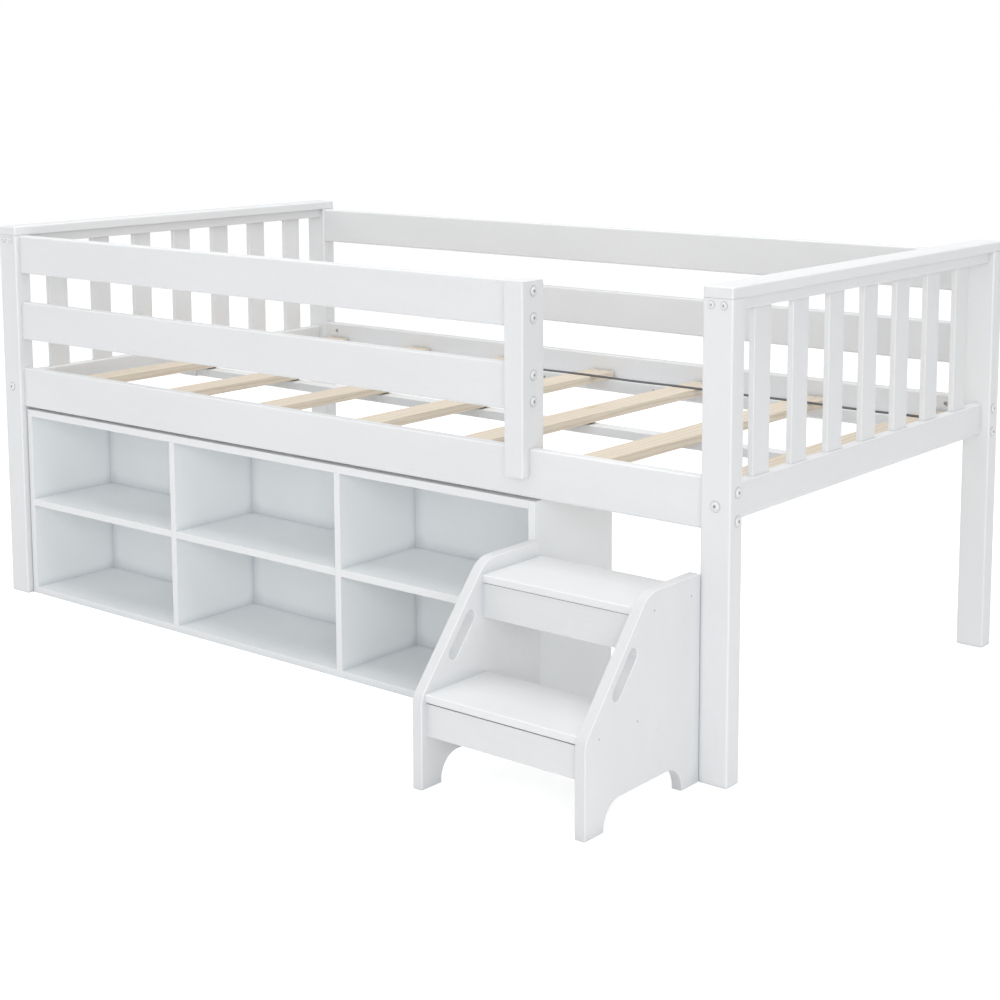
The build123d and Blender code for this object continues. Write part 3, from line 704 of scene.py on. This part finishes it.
class LOFTBED_OT_lay_pads(bpy.types.Operator):
    """Lays the rubber pads between the centre beam and the mattress slats"""
    bl_idname = "loftbed.lay_pads"
    bl_label = "Lay the beam pads"

    def execute(self, context):
        low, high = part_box("beam_pads")
        first, last = (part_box(name) for name in (SLATS[0], SLATS[-1]))
        centres = [(first[0].x + first[1].x) / 2, (last[0].x + last[1].x) / 2]
        length = 2 * (centres[0] - low.x)
        pads = bmesh.new()
        for number in range(len(SLATS)):
            share = number / (len(SLATS) - 1)
            x = centres[0] + (centres[1] - centres[0]) * share
            size = (length, high.y - low.y, high.z - low.z)
            place = Matrix.Translation((x, (low.y + high.y) / 2, (low.z + high.z) / 2))
            shape = place @ Matrix.Diagonal((*size, 1.0))
            block = bmesh.ops.create_cube(pads, size=1.0, matrix=shape)
            corners = {e for v in block["verts"] for e in v.link_edges if self.is_upright(e)}
            bmesh.ops.bevel(
                pads, geom=list(corners), offset=PAD_CORNER, segments=CORNER_STEPS,
                affect="EDGES", profile=0.5, material=-1,
            )
        add_piece("rubber_beam_pads", pads, dark_rubber(), "beam_pads")
        return {"FINISHED"}

    def is_upright(self, edge):
        first, second = edge.verts
        return abs(first.co.z - second.co.z) > MM


class LOFTBED_OT_finish_hardware(bpy.types.Operator):
    """Finishes nuts, screws, hangers and dowels"""
    bl_idname = "loftbed.finish_hardware"
    bl_label = "Finish the hardware"

    def execute(self, context):
        settings = context.scene.loftbed_hardware
        paint = context.scene.loftbed_paint.colour
        zinc = metal(
            "zinc_plate", settings.screw_colour, metallic=0.85, roughness=0.36, streaks=900.0,
        )
        powder = metal("powder_coat", paint, metallic=0.0, roughness=0.46, streaks=1200.0)
        # The screw heads get a lighter painted shade in their recesses.
        capped = metal(
            "painted_screw", paint, metallic=0.0, roughness=0.42, streaks=900.0, recess_shade=0.7,
        )
        paint_nodes(("barrel_nuts", "frame_screws", "slat_screws", "hanger_screws"), zinc)
        paint_nodes(("step_screws",), capped)
        paint_nodes(("beam_hangers",), powder)
        paint_nodes(("frame_dowels", "bookcase_dowels", "step_dowels"), fluted_beech())
        return {"FINISHED"}


class LOFTBED_OT_turn_bolts(bpy.types.Operator):
    """Turns the furniture bolts, with flange, groove, dome and hexagon socket"""
    bl_idname = "loftbed.turn_bolts"
    bl_label = "Turn the bolts"

    def execute(self, context):
        material = lacquered_bolt(context.scene.loftbed_hardware)
        for node in BOLTS:
            bolts = bmesh.new()
            for place, radius, height, length in self.places(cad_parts[node]):
                self.turn(bolts, place, radius, height, length)
            add_piece(f"turned_{node}", bolts, material, node)
        return {"FINISHED"}

    def places(self, node):
        """Where each bolt's seat is, with its flange radius, head height and shank length."""
        source = bmesh.new()
        source.from_mesh(node.data)
        bmesh.ops.remove_doubles(source, verts=source.verts, dist=0.002 * MM)
        left = set(source.verts)
        found = []
        while left:
            bolt, edge = set(), [left.pop()]
            while edge:
                vert = edge.pop()
                bolt.add(vert)
                near = {e.other_vert(vert) for e in vert.link_edges} & left
                left -= near
                edge.extend(near)
            found.append(self.measure([vert.co for vert in bolt]))
        source.free()
        return found

    def measure(self, points):
        """A matrix on the seat under the flange with Z outward, and the bolt's outer sizes."""
        low = Vector([min(p[i] for p in points) for i in range(3)])
        high = Vector([max(p[i] for p in points) for i in range(3)])
        size = high - low
        axis = max(range(3), key=lambda i: size[i])
        centre = (low + high) / 2
        radius = min(size[i] for i in range(3) if i != axis) / 2
        rims = [p[axis] for p in points if self.off_axis(p, centre, axis) > 0.95 * radius]
        seat = min(rims, key=lambda value: abs(value - centre[axis]))
        outward = 1 if seat > centre[axis] else -1
        tip = high[axis] if outward > 0 else low[axis]
        end = low[axis] if outward > 0 else high[axis]
        centre[axis] = seat
        direction = Vector.Fill(3, 0.0)
        direction[axis] = outward
        turn = direction.to_track_quat("Z", "Y").to_matrix().to_4x4()
        return Matrix.Translation(centre) @ turn, radius, abs(tip - seat), abs(seat - end)

    def off_axis(self, point, centre, axis):
        offset = point - centre
        offset[axis] = 0.0
        return offset.length

    def outline(self, radius, height, length):
        """Half the bolt's section, from the middle of the socket's floor to the tip."""
        floor = height - SOCKET_DEPTH
        groove = height - GROOVE_DEPTH
        return (
            (0.0, floor), (SOCKET_FLAT, floor), (SOCKET_FLAT, height - 0.15 * MM),
            (SOCKET_FLAT + 0.25 * MM, height),
            # Dome
            (0.44 * radius, height), (0.54 * radius, height - 0.25 * MM),
            (0.62 * radius, height - 0.8 * MM), (0.66 * radius, height - 1.6 * MM),
            # Groove
            (0.69 * radius, groove), (0.74 * radius, groove), (0.77 * radius, FLANGE_THICKNESS),
            # Flange
            (0.90 * radius, FLANGE_THICKNESS), (0.96 * radius, 0.85 * FLANGE_THICKNESS),
            (radius, 0.45 * FLANGE_THICKNESS), (radius, 0.0),
            # Shank
            (SHANK_RADIUS, 0.0), (SHANK_RADIUS, TIP_LENGTH - length), (TIP_RADIUS, -length),
            (0.0, -length),
        )

    def turn(self, bolts, place, radius, height, length):
        """Spins one bolt about its axis, makes its socket six-sided and sets it in place."""
        outline = self.outline(radius, height, length)
        verts = [bolts.verts.new((across, 0.0, up)) for across, up in outline]
        edges = [bolts.edges.new(pair) for pair in zip(verts, verts[1:])]
        before = set(bolts.faces)
        bmesh.ops.spin(
            bolts, geom=verts + edges, cent=(0, 0, 0), axis=(0, 0, 1), angle=math.tau,
            steps=BOLT_STEPS, use_merge=True,
        )
        faces = [face for face in bolts.faces if face not in before]
        turned = {vert for face in faces for vert in face.verts}
        lie = bolts.loops.layers.uv.get("turned") or bolts.loops.layers.uv.new("turned")
        for face in faces:
            face.smooth = True
            for loop in face.loops:
                out = loop.vert.co.xy.length / radius
                loop[lie].uv = (math.atan2(loop.vert.co.y, loop.vert.co.x) * TURN_WIDTH, out)
        for vert in turned:
            across = vert.co.xy.length
            in_socket = vert.co.z > height - SOCKET_DEPTH - 0.3 * MM
            if in_socket and 0 < across < SOCKET_FLAT + 0.05 * MM:
                angle = math.atan2(vert.co.y, vert.co.x) % (math.pi / 3) - math.pi / 6
                vert.co.xy *= 1.0 / math.cos(angle)
        bmesh.ops.remove_doubles(bolts, verts=list(turned), dist=0.001 * MM)
        turned = [vert for vert in turned if vert.is_valid]
        bmesh.ops.transform(bolts, matrix=place, verts=turned)
        bmesh.ops.recalc_face_normals(bolts, faces=[face for face in faces if face.is_valid])


class LOFTBED_OT_set_stage(bpy.types.Operator):
    """Makes the floor, the lamps and the camera"""
    bl_idname = "loftbed.set_stage"
    bl_label = "Set the stage"

    def execute(self, context):
        settings = context.scene.loftbed_stage
        self.lay_floor()
        self.light_world(context, settings)
        self.hang_lamps(settings)
        self.place_camera(context, settings)
        context.scene.view_settings.view_transform = "Standard"
        return {"FINISHED"}

    def lay_floor(self):
        floor = bmesh.new()
        bmesh.ops.create_grid(floor, x_segments=1, y_segments=1, size=FLOOR_REACH)
        data = bpy.data.meshes.new("studio_floor")
        floor.to_mesh(data)
        floor.free()
        shader = Shader("studio_floor")
        fleck = shader.noise(shader.place, scale=3.0, detail=2.0)
        colour = shader.mix(fleck, *(rgba((tone,) * 3) for tone in FLOOR_TONES))
        shader.finish(colour, 0.9, Specular_IOR_Level=0.0)
        path = shader.node("ShaderNodeLightPath").outputs
        seen = shader.math("MAXIMUM", path["Is Camera Ray"], path["Is Glossy Ray"])
        seen = shader.math("MAXIMUM", seen, path["Is Transmission Ray"])
        shader.feed(shader.body.inputs["Emission Color"], rgba((1.0,) * 3))
        glow = shader.math("MULTIPLY", seen, FLOOR_GLOW)
        shader.feed(shader.body.inputs["Emission Strength"], glow)
        data.materials.append(shader.material)
        piece = bpy.data.objects.new("studio_floor", data)
        bpy.context.scene.collection.objects.link(piece)

    def light_world(self, context, settings):
        world = bpy.data.worlds.new("studio_world")
        world.use_nodes = True
        nodes, links = world.node_tree.nodes, world.node_tree.links
        nodes.clear()
        out = nodes.new("ShaderNodeOutputWorld")
        path = nodes.new("ShaderNodeLightPath").outputs
        seen = nodes.new("ShaderNodeMath")
        seen.operation = "MAXIMUM"
        links.new(path["Is Camera Ray"], seen.inputs[0])
        links.new(path["Is Glossy Ray"], seen.inputs[1])
        even, white = nodes.new("ShaderNodeBackground"), nodes.new("ShaderNodeBackground")
        even.inputs["Strength"].default_value = settings.sky
        white.inputs["Strength"].default_value = 1.0
        for background in (even, white):
            background.inputs["Color"].default_value = rgba((1.0,) * 3)
        blend = nodes.new("ShaderNodeMixShader")
        links.new(seen.outputs[0], blend.inputs[0])
        links.new(even.outputs[0], blend.inputs[1])
        links.new(white.outputs[0], blend.inputs[2])
        links.new(blend.outputs[0], out.inputs[0])
        context.scene.world = world

    def hang_lamps(self, settings):
        """Large square lamps round the bed, all aimed at its middle."""
        for side, (place, size) in LAMPS.items():
            name = f"{side}_lamp"
            lamp = bpy.data.lights.new(name, "AREA")
            lamp.shape = "SQUARE"
            lamp.size = size
            lamp.energy = getattr(settings, side)
            holder = bpy.data.objects.new(name, lamp)
            holder.location = place
            holder.rotation_mode = "QUATERNION"
            holder.rotation_quaternion = (LAMP_AIM - place).to_track_quat("-Z", "Y")
            bpy.context.scene.collection.objects.link(holder)

    def place_camera(self, context, settings):
        camera = bpy.data.cameras.new("photo_camera")
        camera.sensor_width = SENSOR_WIDTH
        camera.lens = settings.lens
        camera.shift_y = settings.rise
        holder = bpy.data.objects.new("photo_camera", camera)
        upright = Matrix.Rotation(math.pi / 2 - settings.tilt, 4, "X")
        pan = Matrix.Rotation(settings.pan, 4, "Z")
        roll = Matrix.Rotation(settings.roll, 4, "Z")
        holder.matrix_world = Matrix.Translation(settings.place) @ pan @ upright @ roll
        context.scene.collection.objects.link(holder)
        context.scene.camera = holder


class LOFTBED_PT_panel(bpy.types.Panel):
    """Lists the steps and settings of the low loft bed"""
    bl_idname = "LOFTBED_PT_panel"
    bl_label = "Low loft bed"
    bl_space_type = "VIEW_3D"
    bl_region_type = "UI"
    bl_category = "Loft bed"

    def draw(self, context):
        layout = self.layout
        for group in SETTINGS:
            settings = getattr(context.scene, group)
            box = layout.box()
            for name in settings.__annotations__:
                box.prop(settings, name)
        for step in OPERATORS:
            layout.operator(step.bl_idname)


SETTINGS = {
    "loftbed_paint": PaintSettings,
    "loftbed_board": BoardSettings,
    "loftbed_pine": PineSettings,
    "loftbed_strap": StrapSettings,
    "loftbed_hardware": HardwareSettings,
    "loftbed_stage": StageSettings,
}
OPERATORS = (
    LOFTBED_OT_paint_frame,
    LOFTBED_OT_paint_stool,
    LOFTBED_OT_coat_bookcase,
    LOFTBED_OT_finish_slats,
    LOFTBED_OT_lay_straps,
    LOFTBED_OT_lay_pads,
    LOFTBED_OT_finish_hardware,
    LOFTBED_OT_turn_bolts,
    LOFTBED_OT_set_stage,
)


def register():
    for kind in (*SETTINGS.values(), *OPERATORS, LOFTBED_PT_panel):
        bpy.utils.register_class(kind)
    for name, group in SETTINGS.items():
        setattr(bpy.types.Scene, name, PointerProperty(type=group))


def unregister():
    for name in SETTINGS:
        delattr(bpy.types.Scene, name)
    for kind in reversed((*SETTINGS.values(), *OPERATORS, LOFTBED_PT_panel)):
        bpy.utils.unregister_class(kind)


def main():
    register()
    for step in OPERATORS:
        group, name = step.bl_idname.split(".")
        getattr(getattr(bpy.ops, group), name)()


if __name__ == "__main__":
    main()
